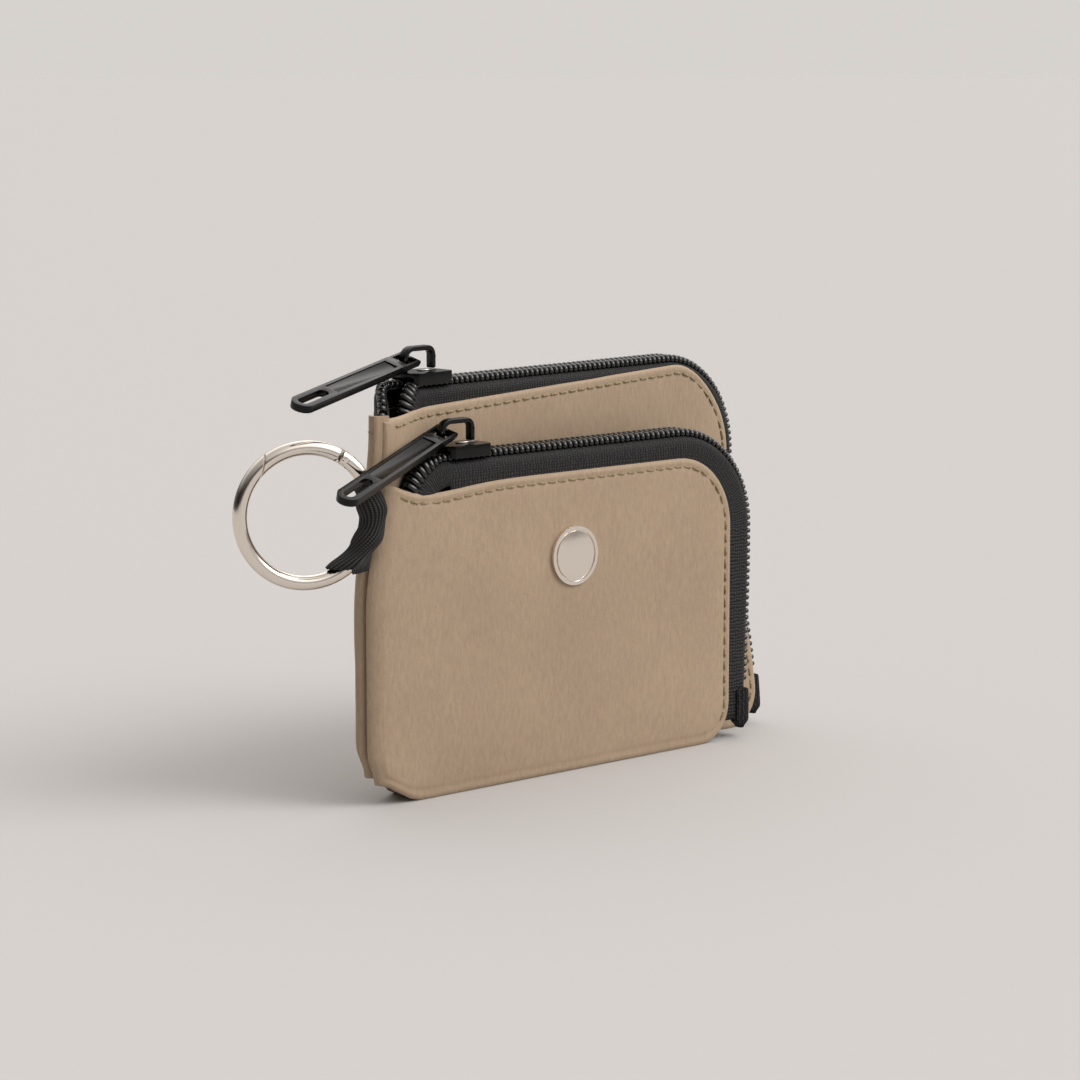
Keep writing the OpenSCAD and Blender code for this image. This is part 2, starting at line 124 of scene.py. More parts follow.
# The surround looks one even colour. What the metal reflects of it is banded by
# height, and dark on the left and bright on the right.
surround = bpy.data.worlds.new("surround")
surround.use_nodes = True
bpy.context.scene.world = surround
room_tree = surround.node_tree
even = room_tree.nodes["Background"]
even.inputs["Color"].default_value = (0.679, 0.646, 0.619, 1)
even.inputs["Strength"].default_value = 1.0
direction = room_tree.nodes.new("ShaderNodeTexCoord")
parts = room_tree.nodes.new("ShaderNodeSeparateXYZ")
bands = room_tree.nodes.new("ShaderNodeValToRGB")
bands.color_ramp.elements[0].position = 0.5
bands.color_ramp.elements[0].color = (0.16, 0.15, 0.14, 1)
bands.color_ramp.elements[1].position = 0.65
bands.color_ramp.elements[1].color = (0.2, 0.19, 0.18, 1)
for height, level in ((0.72, 0.95), (0.86, 1.15), (1.0, 0.7)):
    band = bands.color_ramp.elements.new(height)
    band.color = (level, level * 0.97, level * 0.94, 1)
raised = add_node(room_tree, "ShaderNodeMath", {"operation": "MULTIPLY_ADD"})
raised.inputs[1].default_value = 0.5
raised.inputs[2].default_value = 0.5
sides = add_node(room_tree, "ShaderNodeMapRange", From_Min=-1, To_Min=0.05, To_Max=2.2)
sided = add_node(room_tree, "ShaderNodeVectorMath", {"operation": "SCALE"})
room = add_node(room_tree, "ShaderNodeBackground", Strength=1.0)
ray = room_tree.nodes.new("ShaderNodeLightPath")
choose = room_tree.nodes.new("ShaderNodeMixShader")
room_tree.links.new(direction.outputs["Generated"], parts.inputs[0])
room_tree.links.new(parts.outputs["Z"], raised.inputs[0])
room_tree.links.new(raised.outputs[0], bands.inputs["Fac"])
room_tree.links.new(parts.outputs["X"], sides.inputs["Value"])
room_tree.links.new(sides.outputs[0], sided.inputs["Scale"])
room_tree.links.new(bands.outputs["Color"], sided.inputs[0])
room_tree.links.new(sided.outputs[0], room.inputs["Color"])
room_tree.links.new(ray.outputs["Is Camera Ray"], choose.inputs["Fac"])
room_tree.links.new(room.outputs[0], choose.inputs[1])
room_tree.links.new(even.outputs[0], choose.inputs[2])
room_tree.links.new(choose.outputs[0], room_tree.nodes["World Output"].inputs["Surface"])


def soft_sun(name, strength, spread_angle, from_direction, colour=(1, 1, 1)):
    sun = bpy.data.lights.new(name, "SUN")
    sun.energy = strength
    sun.angle = radians(spread_angle)
    sun.color = colour
    holder = bpy.data.objects.new(name, sun)
    holder.rotation_euler = Vector(from_direction).to_track_quat("Z", "Y").to_euler()
    bpy.context.scene.collection.objects.link(holder)


soft_sun("key", 1.35, 35, (0.55, -0.75, 0.8), (1, 0.985, 0.96))
soft_sun("fill", 0.25, 60, (0.15, -1, 0.45))

# ---------------------------------------------------------------------------
# Pocket panel: cut nylon with a light foam backing, its edge folded under and
# topstitched, sewn into the left seam and the floor. It is drawn flat in mm,
# x from the seam and y up, then stood up and given its soft shape.

pocket_place = Matrix.Translation((seam_x, pocket_y, 0)) @ Matrix.Scale(MM, 4)
face = 4.6
panel_t = 0.9
stitch_pitch = 3.0
stitch_inset = 1.9
pocket_right = 107
pocket_edge = 67
pocket_corner = 17
foot_corner = 9
sewn_strip = 3.2
seam_reach = 24


def smooth(low, high, value):
    t = min(max((value - low) / (high - low), 0), 1)
    return t * t * (3 - 2 * t)


def pick(piece, test):
    """Selects, for edit mode, the corners of a piece that pass a test on their place"""
    bpy.ops.mesh.select_mode(type="VERT")
    bpy.ops.mesh.select_all(action="DESELECT")
    bpy.ops.object.mode_set(mode="OBJECT")
    for corner in piece.data.vertices:
        corner.select = test(corner.co)
    bpy.ops.object.mode_set(mode="EDIT")


def cut_panel(name, right, top, top_corner, step=3.0):
    """A flat panel with two rounded right corners, rows along its edge and a net of rows across"""
    bpy.ops.object.select_all(action="DESELECT")
    bpy.ops.mesh.primitive_plane_add(size=1, location=(right / 2, top / 2, 0))
    panel = bpy.context.object
    panel.name = name
    panel.scale = (right, top, 1)
    bpy.ops.object.transform_apply(location=True, rotation=False, scale=True)
    bpy.ops.object.mode_set(mode="EDIT")
    pick(panel, lambda co: co.x > right - 1 and co.y > top - 1)
    bpy.ops.mesh.bevel(offset=top_corner, segments=16, affect="VERTICES")
    pick(panel, lambda co: co.x > right - 1 and co.y < 1)
    bpy.ops.mesh.bevel(offset=foot_corner, segments=10, affect="VERTICES")
    bpy.ops.mesh.select_all(action="SELECT")
    for row in (0.35, 0.35, 0.6, 0.6, 0.5, 0.9):
        bpy.ops.mesh.inset(thickness=row)
    across = step
    while across < right:
        bpy.ops.mesh.select_all(action="SELECT")
        bpy.ops.mesh.bisect(plane_co=(across, 0, 0), plane_no=(1, 0, 0))
        across += step
    up = step
    while up < top:
        bpy.ops.mesh.select_all(action="SELECT")
        bpy.ops.mesh.bisect(plane_co=(0, up, 0), plane_no=(0, 1, 0))
        up += step
    bpy.ops.object.mode_set(mode="OBJECT")
    return panel


def edge_distance(x, up, right, top, top_corner):
    """How far inside a panel's outline a point is"""
    inside = min(x, right - x, up, top - up)
    for corner, centre_up in ((top_corner, top - top_corner), (foot_corner, foot_corner)):
        out_x = x - (right - corner)
        out_up = (up - centre_up) if centre_up > foot_corner else (centre_up - up)
        if out_x > 0 and out_up > 0:
            inside = corner - hypot(out_x, out_up)
    return inside


def hem(x, up, distance):
    """How far the cloth falls back at its folded edge and at the line of topstitching"""
    fold = 0.55 * max(0, 1 - distance / 1.1) ** 2
    if x < sewn_strip < up:
        return fold
    line = exp(-((distance - stitch_inset) / 0.55) ** 2)
    pucker = 0.5 + 0.5 * cos(2 * pi * (x - up) / stitch_pitch)
    return fold + line * (0.14 + 0.18 * pucker)


def soft_waves(x, up, distance, seed, height):
    """Slow waves in the cloth, which die out towards its sewn edge"""
    return height * noise.noise(Vector((x / 26, up / 21, seed))) * smooth(0, 8, distance)


def crown(x, up, right, top):
    """How full a panel is at a point: not at all at its edges, and fully in its middle"""
    across = min(max(x / right, 0), 1)
    rise = min(max(up / top, 0), 1)
    return sin(pi * across) * sin(pi * rise) ** 0.6


def seam_pull(up):
    """How far the strap and the narrow top draw the left edge in from the seam line"""
    return 0.9 + 3.7 * smooth(42, 66, up) + 2.0 * (1 - smooth(0, 9, up)) ** 1.5


def near_seam(x):
    """How much of the side seam's pull is felt at a distance from it"""
    return 1 - smooth(0, seam_reach, x)


def corner_rise(x, up):
    """How far the foot of the side seam is drawn up, which rounds the wallet's lower left corner"""
    return 4.6 * (1 - smooth(0, 15, x)) ** 1.6 * (1 - smooth(0, 26, up))


def pocket_cloth(x, up):
    """Where a point of the flat pocket panel ends up, in the pocket's own frame"""
    distance = edge_distance(x, up, pocket_right, pocket_edge, pocket_corner)
    sag = 1.7 * exp(-((x - 1) / 5) ** 2) - 1.5 * exp(-((x - 17) / 13) ** 2)
    fullness = 1.1 * crown(x, up, pocket_right, pocket_edge)
    roll = 1.7 * max(0, 1 - x / 4.5) ** 2
    waves = soft_waves(x, up, distance, 1.7, 0.5)
    return Vector((
        x + seam_pull(up) * near_seam(x),
        -face - fullness + roll + hem(x, up, distance) - waves,
        up + sag * smooth(40, 66, up) + corner_rise(x, up)))


def shape_cloth(piece, cloth):
    for corner in piece.data.vertices:
        corner.co = cloth(corner.co.x, corner.co.y)


def thicken(piece, thickness, offset=-1.0, rim=0.25):
    """Gives a cloth its thickness, rounds its cut edge and shades it smooth"""
    take_up(piece)
    wall = piece.modifiers.new("wall", "SOLIDIFY")
    wall.thickness = thickness
    wall.offset = offset
    bpy.ops.object.modifier_apply(modifier="wall")
    if rim:
        edge = piece.modifiers.new("edge", "BEVEL")
        edge.width = rim
        edge.segments = 2
        edge.limit_method = "ANGLE"
        edge.angle_limit = radians(50)
        bpy.ops.object.modifier_apply(modifier="edge")
    bpy.ops.object.shade_smooth()


def set_down(piece, place):
    """Moves a piece modelled in mm into its place in the wallet, in its mesh"""
    piece.data.transform(place)
    piece.matrix_world = Matrix.Identity(4)
    piece.data.update()


def nylon_cloth():
    """Taupe nylon: fine plain weave, soft upright crinkles, slightly uneven dye, faint sheen"""
    finish = plain_material("taupe_nylon", (0.38, 0.275, 0.185), 0.62)
    tree = finish.node_tree
    shader = tree.nodes["Principled BSDF"]
    shader.inputs["Sheen Weight"].default_value = 0.25
    shader.inputs["Sheen Roughness"].default_value = 0.4
    shader.inputs["Sheen Tint"].default_value = (0.9, 0.78, 0.62, 1)
    shader.inputs["Specular IOR Level"].default_value = 0.35
    place = tree.nodes.new("ShaderNodeTexCoord")
    tall = add_node(tree, "ShaderNodeMapping", Scale=(1500, 1500, 420))
    tree.links.new(place.outputs["Object"], tall.inputs["Vector"])
    crinkle = add_node(tree, "ShaderNodeTexNoise", Scale=1.0, Detail=4.0, Roughness=0.6)
    tree.links.new(tall.outputs["Vector"], crinkle.inputs["Vector"])
    weave = add_node(tree, "ShaderNodeTexNoise", Scale=3400.0, Detail=2.0)
    tree.links.new(place.outputs["Object"], weave.inputs["Vector"])
    patches = add_node(tree, "ShaderNodeTexNoise", Scale=38.0, Detail=3.0)
    tree.links.new(place.outputs["Object"], patches.inputs["Vector"])
    dye = add_node(tree, "ShaderNodeMix", {"data_type": "RGBA"})
    dye.inputs["A"].default_value = (0.325, 0.235, 0.158, 1)
    dye.inputs["B"].default_value = (0.43, 0.318, 0.22, 1)
    blend = add_node(tree, "ShaderNodeMath", {"operation": "MULTIPLY_ADD"})
    blend.inputs[1].default_value = 0.5
    tree.links.new(crinkle.outputs["Fac"], blend.inputs[0])
    calm = add_node(tree, "ShaderNodeMath", {"operation": "MULTIPLY_ADD"})
    calm.inputs[1].default_value = 0.25
    tree.links.new(patches.outputs["Fac"], calm.inputs[0])
    grain = add_node(tree, "ShaderNodeMath", {"operation": "MULTIPLY"})
    grain.inputs[1].default_value = 0.3
    tree.links.new(weave.outputs["Fac"], grain.inputs[0])
    tree.links.new(grain.outputs[0], calm.inputs[2])
    tree.links.new(calm.outputs[0], blend.inputs[2])
    spread = add_node(tree, "ShaderNodeMapRange", From_Min=0.36, From_Max=0.69)
    tree.links.new(blend.outputs[0], spread.inputs["Value"])
    tree.links.new(spread.outputs[0], dye.inputs["Factor"])
    tree.links.new(dye.outputs["Result"], shader.inputs["Base Color"])
    height = add_node(tree, "ShaderNodeMath", {"operation": "MULTIPLY_ADD"})
    height.inputs[1].default_value = 0.6
    tree.links.new(weave.outputs["Fac"], height.inputs[0])
    tree.links.new(crinkle.outputs["Fac"], height.inputs[2])
    bump = add_node(tree, "ShaderNodeBump", Strength=0.5, Distance=0.00012)
    tree.links.new(height.outputs[0], bump.inputs["Height"])
    tree.links.new(bump.outputs["Normal"], shader.inputs["Normal"])
    return finish


nylon = nylon_cloth()


def dress(piece, finish, slot, body, *nodes):
    """Gives a finished piece its material and its body, and hides the CAD nodes it stands for. The slot is
    not used.
    """
    piece.data.materials.clear()
    piece.data.materials.append(finish)
    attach(piece, body)
    if nodes:
        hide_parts(*nodes)


pocket_panel = cut_panel("pocket_front_cloth", pocket_right, pocket_edge, pocket_corner)
shape_cloth(pocket_panel, pocket_cloth)
thicken(pocket_panel, panel_t)
set_down(pocket_panel, pocket_place)
dress(pocket_panel, nylon, "taupe_nylon", "pouch", "pocket_panel")

# ---------------------------------------------------------------------------
# Main pouch panels: the same nylon, taller and wider. At the left they are
# drawn forward into the shared seam; the lower right corner leans forward too.


def joint(name):
    return next(row for row in frame["joints"] if row["name"] == name)


spread_x = Vector(joint("main_slider_travel")["axis"])
main_pivot = joint("main_pull_swing")["pos_m"]
main_pivot_x = 23.3
main_seam = Vector((main_pivot[0], main_pivot[1], 0)) - spread_x * main_pivot_x * MM
main_place = Matrix((
    (spread_x.x, -spread_x.y, 0, main_seam.x),
    (spread_x.y, spread_x.x, 0, main_seam.y),
    (0, 0, 1, 0),
    (0, 0, 0, 1))) @ Matrix.Scale(MM, 4)
main_right = 123
main_edge = 84.5
main_corner = 20


def main_lean(x, up):
    """How far the main pouch leans forward at its lower right corner"""
    return 9 * smooth(55, 127, x) * (1 - smooth(0, 62, up))


def main_front_y(x, up):
    return -face - 5.2 * (1 - smooth(2, 27, x)) - main_lean(x, up)


def main_back_y(x, up):
    return face - 10.2 * (1 - smooth(1, 34 - 18 * smooth(50, 80, up), x)) - main_lean(x, up)


def main_rise(x, up):
    """The main panels' upper edge climbs from left to right, and the lower left corner is drawn up"""
    climb = (0.043 * x - 2.8) * smooth(50, 84, up) * (1 - smooth(104, 121, x))
    return climb + 1.25 * corner_rise(x, up)


def main_left(up):
    """The main pouch's left edge, which slopes in towards the top"""
    return 0.9 + 4.6 * smooth(40, 84, up) + 2.4 * (1 - smooth(0, 10, up)) ** 1.5


def main_front_cloth(x, up):
    distance = edge_distance(x, up, main_right, main_edge, main_corner)
    curl = max(0, 1 - x / 1.6) ** 2
    reach = 1.3 * smooth(90, 123, x) * (1 - smooth(8, 42, up))
    return Vector((
        x + main_left(up) * near_seam(x) + 0.5 * curl + reach,
        main_front_y(x, up) + 1.5 * curl + hem(x, up, distance) + soft_waves(x, up, distance, 4.2, 0.5),
        up + main_rise(x, up)))


def main_back_cloth(x, up):
    distance = edge_distance(x, up, main_right, main_edge, main_corner)
    fullness = 1.2 * crown(x, up, main_right, main_edge)
    roll = 0.9 * (1 - smooth(0, 5, x)) ** 2
    waves = soft_waves(x, up, distance, 9.1, 0.6)
    return Vector((
        x + main_left(up) * near_seam(x),
        main_back_y(x, up) + fullness - roll - hem(x, up, distance) + waves,
        up + main_rise(x, up)))


main_front = cut_panel("main_front_cloth", main_right, main_edge, main_corner)
shape_cloth(main_front, main_front_cloth)
thicken(main_front, panel_t)
set_down(main_front, main_place)
dress(main_front, nylon, "taupe_nylon", "pouch", "main_front_panel")

main_back = cut_panel("main_back_cloth", main_right, main_edge, main_corner)
shape_cloth(main_back, main_back_cloth)
main_back.data.flip_normals()
thicken(main_back, panel_t)
set_down(main_back, main_place)
dress(main_back, nylon, "taupe_nylon", "pouch", "main_back_panel")

# ---------------------------------------------------------------------------
# Gussets and floor: narrow nylon strips between the panels, sewn edge to edge.
# The left one stands in the seam, the others close the two pouches below.


def strip(name, columns, rows, shape):
    """A grid of cloth; shape gives the place of each point from its two shares, 0 to 1"""
    bpy.ops.object.select_all(action="DESELECT")
    bpy.ops.mesh.primitive_grid_add(x_subdivisions=columns, y_subdivisions=rows, size=1, location=(0, 0, 0))
    piece = bpy.context.object
    piece.name = name
    for corner in piece.data.vertices:
        corner.co = shape(corner.co.x + 0.5, corner.co.y + 0.5)
    return piece


def gusset_shape(across, along):
    up = along * 85.2
    groove = 2.2 * (1 - smooth(0, 0.3, across))
    inset = main_left(up) - 0.9 * sin(pi * across) - 0.15 + groove
    front = main_front_y(0, up) + 0.3
    back = main_back_y(0, up) - 0.1
    hollow = 0.25 * noise.noise(Vector((across * 2, up / 9, 5.5)))
    return Vector((inset + hollow, front + (back - front) * across, up + main_rise(0, up)))


left_gusset = strip("left_gusset_cloth", 10, 60, gusset_shape)
left_gusset.data.flip_normals()
thicken(left_gusset, 0.8)
set_down(left_gusset, main_place)
dress(left_gusset, nylon, "taupe_nylon", "pouch", "left_gusset")


def bottom_shape(across, along):
    x = 0.6 + along * 112.4
    front = main_front_y(x, 0) + 0.7
    back = main_back_y(x, 0) - 0.7
    return Vector((
        x + main_left(0) * near_seam(x),
        front + (back - front) * across,
        0.15 + 0.5 * sin(pi * across) + 1.25 * corner_rise(x, 0)))


bottom_gusset = strip("bottom_gusset_cloth", 8, 60, bottom_shape)
thicken(bottom_gusset, 0.8)
set_down(bottom_gusset, main_place)
dress(bottom_gusset, nylon, "taupe_nylon", "pouch", "bottom_gusset")

to_main = main_place.inverted()


def main_front_in_pocket(x, up):
    """The main pouch's front face, as a depth in the pocket's frame at a distance from the seam"""
    local = to_main @ (pocket_place @ Vector((x, 0, up)))
    point = pocket_place.inverted() @ (main_place @ Vector((local.x, main_front_y(local.x, up), up)))
    return point.y


def floor_shape(across, along):
    x = 0.6 + along * 97.4
    front = -face + 0.7 + 1.7 * max(0, 1 - x / 4.5) ** 2
    back = main_front_in_pocket(x, 0) - 0.1
    return Vector((
        x + seam_pull(0) * near_seam(x),
        front + (back - front) * across,
        0.2 + 0.6 * sin(pi * across) + corner_rise(x, 0)))


pocket_floor = strip("pocket_floor_cloth", 10, 50, floor_shape)
thicken(pocket_floor, 0.7)
set_down(pocket_floor, pocket_place)
dress(pocket_floor, nylon, "taupe_nylon", "pouch", "pocket_floor")

# ---------------------------------------------------------------------------
# Linings: thin dark polyester bags, hung inside each pouch from the tapes and
# seen only where a zip is open at its left end.


def grain(finish, scale, detail, gloss=None, bump=None):
    """A fine grain through a finish: it moves the roughness between two values, and lifts
    the surface by a strength and a height in mm"""
    tree = finish.node_tree
    shader = tree.nodes["Principled BSDF"]
    place = tree.nodes.new("ShaderNodeTexCoord")
    specks = add_node(tree, "ShaderNodeTexNoise", Scale=scale, Detail=detail)
    tree.links.new(place.outputs["Object"], specks.inputs["Vector"])
    if gloss:
        levels = add_node(tree, "ShaderNodeMapRange", To_Min=gloss[0], To_Max=gloss[1])
        tree.links.new(specks.outputs["Fac"], levels.inputs["Value"])
        tree.links.new(levels.outputs[0], shader.inputs["Roughness"])
    if bump:
        relief = add_node(tree, "ShaderNodeBump", Strength=bump[0], Distance=bump[1] * MM)
        tree.links.new(specks.outputs["Fac"], relief.inputs["Height"])
        tree.links.new(relief.outputs["Normal"], shader.inputs["Normal"])


lining_cloth = plain_material("lining_polyester", (0.045, 0.042, 0.04), 0.7)
grain(lining_cloth, 1500.0, 3.0, bump=(0.4, 0.1))


def bag_shape(front, back, pull, left, right, low, high):
    """A lining bag open at the top: down one wall, across the bottom and up the other"""
    wall = 0.45
    fold = 1 - 2 * wall

    def shape(across, along):
        x = left + (right - left) * along
        up, share, sink = low, min(max((across - wall) / fold, 0), 1), 0.3
        if across < wall:
            up, sink = high + (low - high) * across / wall, 0
        if across > 1 - wall:
            up, sink = low + (high - low) * (across + wall - 1) / wall, 0
        return Vector((
            x + pull(up) * near_seam(x),
            front(x, up) + (back(x, up) - front(x, up)) * share,
            up - sink * sin(pi * share) + 1.5 * corner_rise(x, up)))
    return shape


main_lining = strip("main_lining_bag", 40, 60, bag_shape(
    lambda x, up: main_front_y(x, up) + 1.5, lambda x, up: main_back_y(x, up) - 1.5,
    main_left, 3.5, 117, 1.8, 74))
thicken(main_lining, 0.3, 0, 0)
set_down(main_lining, main_place)
dress(main_lining, lining_cloth, "lining", "pouch", "main_lining")

pocket_lining = strip("pocket_lining_bag", 40, 50, bag_shape(
    lambda x, up: -face + 1.7, lambda x, up: max(main_front_in_pocket(x, up) - 0.6, -face + 2.1),
    seam_pull, 4.5, 101, 1.8, 57))
thicken(pocket_lining, 0.3, 0, 0)
set_down(pocket_lining, pocket_place)
dress(pocket_lining, lining_cloth, "lining", "pouch", "pocket_lining")

# ---------------------------------------------------------------------------
# Zip tapes: black woven polyester with a herringbone rib. Each is folded from
# under its coil down behind the panel. To the left of the slider the two
# tapes part and dive into the pouch.


def zip_line(s, knee, top, right, corner, droop, reach):
    """Place and downward slope on a zip's outside line, s mm to the right of the knee"""
    if s < 0:
        turn = min(-s / droop, reach)
        rest = max(0, -s - droop * reach)
        return (knee - droop * sin(turn) - rest * cos(turn),
                top - droop * (1 - cos(turn)) - rest * sin(turn), turn)
    if s < right - corner - knee:
        return knee + s, top, 0
    turn = (s - (right - corner - knee)) / corner
    if turn < pi / 2:
        return right - corner + corner * sin(turn), top - corner * (1 - cos(turn)), -turn
    return right, top - corner - corner * (turn - pi / 2), -pi / 2


zips = {
    "pocket": dict(place=pocket_place, top=73.5, right=115.5, corner=24, foot=12,
                   front=dict(knee=23, droop=13, reach=radians(58), start=-17),
                   back=dict(knee=20, droop=12, reach=radians(60), start=-15)),
    "main": dict(place=main_place, top=88.5, right=127, corner=24, foot=12,
                 front=dict(knee=23.2, droop=8, reach=radians(74), start=-13),
                 back=dict(knee=17.5, droop=9.5, reach=radians(74), start=-13.5)),
}
tape_w = 13.5
tape_tail = 7.5


def flat_distance(x):
    """The distance from the seam on the main pouch's flat cloth, from the place it is drawn to"""
    return x - 4.9 * (1 - smooth(4, 26, x))


def foot_draw(z):
    """How far the foot of the pocket's zip is drawn in"""
    return 0.9 * (1 - smooth(4, 45, z))


def side_shift(name, side, x, z):
    """How far the seam's pinch and the lean move a zip forward"""
    if name == "pocket":
        return -2.4 * (1 - smooth(5, 22, x)) if side > 0 else -1.0 * (1 - smooth(5, 20, x))
    x, top = flat_distance(x), 80
    pinch = main_front_y(x, top) + face if side < 0 else main_back_y(x, top) - face
    return max(pinch, -5.4 if side < 0 else -8.0) - 0.97 * main_lean(x, z)


def on_zip(name, side, s, inwards, y):
    """A point beside a zip's outside line: so far along it, inwards from it and across it"""
    shape = zips[name]
    row = shape["front" if side < 0 else "back"]
    x, z, turn = zip_line(s, row["knee"], shape["top"], shape["right"], shape["corner"],
                          row["droop"], row["reach"])
    if name == "pocket":
        x -= smooth(100, 114, x) * foot_draw(z)
    x += inwards * sin(turn)
    z -= inwards * cos(turn)
    return Vector((x, y + side_shift(name, side, x, z), z)), turn


def zip_length(name, side):
    shape = zips[name]
    row = shape["front" if side < 0 else "back"]
    straight = shape["right"] - shape["corner"] - row["knee"]
    down = shape["top"] - shape["corner"] - shape["foot"]
    return straight + shape["corner"] * pi / 2 + down


folded = ((0.35, 2.15), (1.6, 2.2), (2.7, 2.35), (3.35, 2.75), (3.62, 3.6),
          (3.66, 5), (3.62, 7), (3.5, 9.5), (3.4, 12.5))


def on_fold(share):
    """Across the folded tape, from under the coil to its free edge: how far out and how far down"""
    place = share * (len(folded) - 1)
    index = min(int(place), len(folded) - 2)
    part = place - index
    return tuple(a + (b - a) * part for a, b in zip(folded[index], folded[index + 1]))


def tape_shape(name, side):
    start = zips[name]["front" if side < 0 else "back"]["start"]
    end = zip_length(name, side) + tape_tail
    clear = 1.1

    def shape(along, across):
        y, inwards = on_fold(across)
        s = start + (end - start) * along
        if s < 0:
            inwards = min(inwards, 6.5)
        point = on_zip(name, side, s, inwards, side * y)[0]
        if name == "main" and point.z < main_edge:
            flat_x = flat_distance(point.x)
            point.y = max(point.y, main_front_y(flat_x, point.z) + clear)
            point.y = min(point.y, main_back_y(flat_x, point.z) - clear)
        return point
    return shape, end - start


def woven_tape():
    """Black tape: fine ribs across it, waved into a herringbone, on the tape's own map in mm. Its colour is
    painted lighter on the rib crests and darker in the dips between rows: partly the weave's pattern,
    partly painted highlight and shade
    """
    finish = plain_material("zip_tape_weave", (0.022, 0.0215, 0.0225), 0.68)
    tree = finish.node_tree
    shader = tree.nodes["Principled BSDF"]
    shader.inputs["Specular IOR Level"].default_value = 0.3
    place = tree.nodes.new("ShaderNodeUVMap")
    ribs = add_node(tree, "ShaderNodeTexWave", {"wave_type": "BANDS", "bands_direction": "X"},
                      Scale=0.4, Distortion=4.5, Detail=1.5, Detail_Scale=2.0)
    rows = add_node(tree, "ShaderNodeTexWave", {"wave_type": "BANDS", "bands_direction": "Y"},
                      Scale=0.5, Distortion=1.5)
    tree.links.new(place.outputs["UV"], ribs.inputs["Vector"])
    tree.links.new(place.outputs["UV"], rows.inputs["Vector"])
    dips = add_node(tree, "ShaderNodeMapRange", To_Min=0.45, To_Max=1.0)
    lit_weave_ribs = add_node(tree, "ShaderNodeMath", {"operation": "MULTIPLY"})
    tree.links.new(rows.outputs["Fac"], dips.inputs["Value"])
    tree.links.new(ribs.outputs["Fac"], lit_weave_ribs.inputs[0])
    tree.links.new(dips.outputs[0], lit_weave_ribs.inputs[1])
    # Painted highlight on the rib crests and painted shade in the dips between rows: the colour runs from
    # near black to dark grey with the weave
    shade = add_node(tree, "ShaderNodeMix", {"data_type": "RGBA"})
    shade.inputs["A"].default_value = (0.003, 0.003, 0.0032, 1)
    shade.inputs["B"].default_value = (0.034, 0.033, 0.034, 1)
    tree.links.new(lit_weave_ribs.outputs[0], shade.inputs["Factor"])
    tree.links.new(shade.outputs["Result"], shader.inputs["Base Color"])
    bump = add_node(tree, "ShaderNodeBump", Strength=0.8, Distance=0.00025)
    tree.links.new(lit_weave_ribs.outputs[0], bump.inputs["Height"])
    tree.links.new(bump.outputs["Normal"], shader.inputs["Normal"])
    return finish


tape_weave = woven_tape()


def map_in_mm(piece, length, width):
    """Stretches a grid's own map so that one unit is one mm of cloth"""
    for loop in piece.data.uv_layers[0].data:
        loop.uv.x *= length
        loop.uv.y *= width


def finish_tape(tape, name, side, length, node):
    map_in_mm(tape, length, tape_w)
    if side > 0:
        tape.data.flip_normals()
    thicken(tape, 0.5, -1.0, 0)
    set_down(tape, zips[name]["place"])
    dress(tape, tape_weave, "zip_tape", "pouch", node)


for name, side, node in (("main", -1, "main_tape_front"), ("main", 1, "main_tape_back"),
                         ("pocket", -1, "pocket_tape_front")):
    shape, length = tape_shape(name, side)
    finish_tape(strip(node + "_woven", 150, 16, shape), name, side, length, node)


back_start = zips["pocket"]["back"]["start"]
back_length = zip_length("pocket", 1) + tape_tail - back_start


def back_tape_shape(along, across):
    """The pocket's back tape slopes from its coil to the main pouch's face and is sewn down it"""
    s = back_start + back_length * along
    if across < 0.3:
        return on_zip("pocket", 1, s, 2.2 + 0.5 * across, 0.35 + across * 9)[0]
    near = on_zip("pocket", 1, s, 2.35, 3.05)[0]
    far = on_zip("pocket", 1, s, 9.5, 3.05)[0]
    far.y = max(main_front_in_pocket(far.x, far.z) - 0.25, near.y + 0.2)
    share = (across - 0.3) / 0.7
    reach = smooth(0, 0.75, share)
    return Vector((
        near.x + (far.x - near.x) * share ** 1.4,
        near.y + (far.y - near.y) * reach,
        near.z + (far.z - near.z) * share ** 1.4))


pocket_back_tape = strip("pocket_tape_back_woven", 150, 20, back_tape_shape)
finish_tape(pocket_back_tape, "pocket", 1, back_length, "pocket_tape_back")

# ---------------------------------------------------------------------------
# Coils: nylon monofilament wound in loops, one loop for each tooth. The loops
# of the two rows mesh along the closed chain and stand apart at the open end.

coil_pitch = 1.57
coil_nylon = plain_material("zip_coil_nylon", (0.004, 0.004, 0.0045), 0.24)
coil_shader = coil_nylon.node_tree.nodes["Principled BSDF"]
coil_shader.inputs["Coat Weight"].default_value = 0.3
coil_shader.inputs["Coat Roughness"].default_value = 0.15
grain(coil_nylon, 900.0, 2.0, gloss=(0.18, 0.34))


def one_loop():
    """One loop of the coil: x along the chain, y across it and z outwards, bulged at its head"""
    bpy.ops.object.select_all(action="DESELECT")
    bpy.ops.mesh.primitive_torus_add(
        major_segments=12, minor_segments=7, major_radius=0.95, minor_radius=0.56,
        rotation=(0, pi / 2, 0))
    loop = bpy.context.object
    bpy.ops.object.transform_apply(location=False, rotation=True, scale=False)
    bpy.ops.object.mode_set(mode="EDIT")
    bpy.ops.mesh.select_all(action="SELECT")
    bpy.ops.transform.resize(value=(1.12, 0.98, 0.76))
    pick(loop, lambda co: co.y > 0.9)
    bpy.ops.transform.resize(value=(1.25, 1, 1.3), center_override=(0, 1.2, 0))
    bpy.ops.mesh.select_all(action="SELECT")
    bpy.ops.transform.rotate(value=radians(9), orient_axis="Z", center_override=(0, 0, 0))
    bpy.ops.object.mode_set(mode="OBJECT")
    bpy.ops.object.shade_smooth()
    return loop


def placed_copy(piece, place):
    """A copy of a piece with a mesh of its own, in its place"""
    copy = piece.copy()
    copy.data = piece.data.copy()
    copy.data.transform(place)
    bpy.context.scene.collection.objects.link(copy)
    return copy


